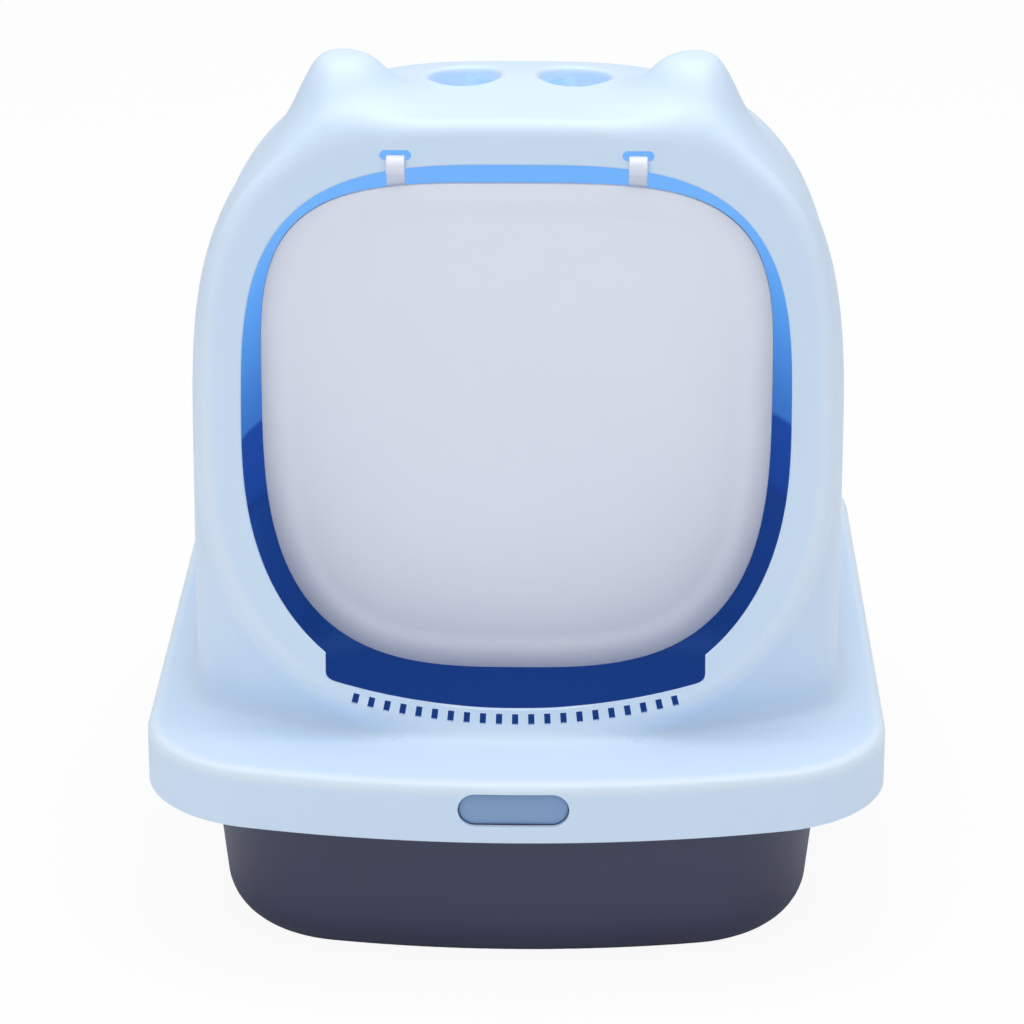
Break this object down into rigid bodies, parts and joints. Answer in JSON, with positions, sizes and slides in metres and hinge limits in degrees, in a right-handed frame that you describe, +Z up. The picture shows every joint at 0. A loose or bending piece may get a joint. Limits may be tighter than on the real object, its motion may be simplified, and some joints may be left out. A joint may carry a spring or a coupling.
{
  "type": "covered litter box",
  "caption": "Covered cat litter box: deep pan, tilting hood with ear-shaped corners and finger-cup handle, swinging entry flap, and a push button that frees the hood.",
  "frame": {"origin": "middle of the pan's flat bottom face, on the floor", "axes": "+Z up, -Y towards the entrance, +Y towards the hinge at the back, +X to the right seen from the entrance"},
  "size_m": [0.4, 0.519, 0.473],
  "materials": {
    "hood_plastic": "fine satin, pale blue white",
    "pan_plastic": "satin, dark slate",
    "flap_plastic": "milky, satin",
    "button_plastic": "smooth, grey blue",
    "latch_plastic": "plain moulded",
    "pin_plastic": "plain moulded",
    "steel": "bright zinc"
  },
  "bodies": {
    "pan": {"pan": "pan_plastic"},
    "hood": {"hood": "hood_plastic", "hinge_pin_left": "pin_plastic", "hinge_pin_right": "pin_plastic", "latch_guide": "latch_plastic", "guide_screw_left": "steel", "guide_screw_right": "steel", "latch_spring_left": "steel", "latch_spring_right": "steel"},
    "flap": {"flap": "flap_plastic"},
    "latch": {"latch_button": "button_plastic", "latch_slider": "latch_plastic"}
  },
  "joints": [
    {"name": "hood_tilt", "type": "hinge", "parent": "pan", "child": "hood", "pos_m": [0, 0.258, 0.088], "axis": [-1, 0, 0], "range_deg": [0, 80]},
    {"name": "flap_swing", "type": "hinge", "parent": "hood", "child": "flap", "pos_m": [0, -0.1485, 0.42551], "axis": [1, 0, 0], "range_deg": [-70, 70]},
    {"name": "latch_press", "type": "slide", "parent": "hood", "child": "latch", "axis": [0, 1, 0], "range_m": [0, 0.0035], "stiffness_N_per_m": 400, "springref_m": -0.003, "deforming": ["latch_spring_left", "latch_spring_right"]}
  ]
}
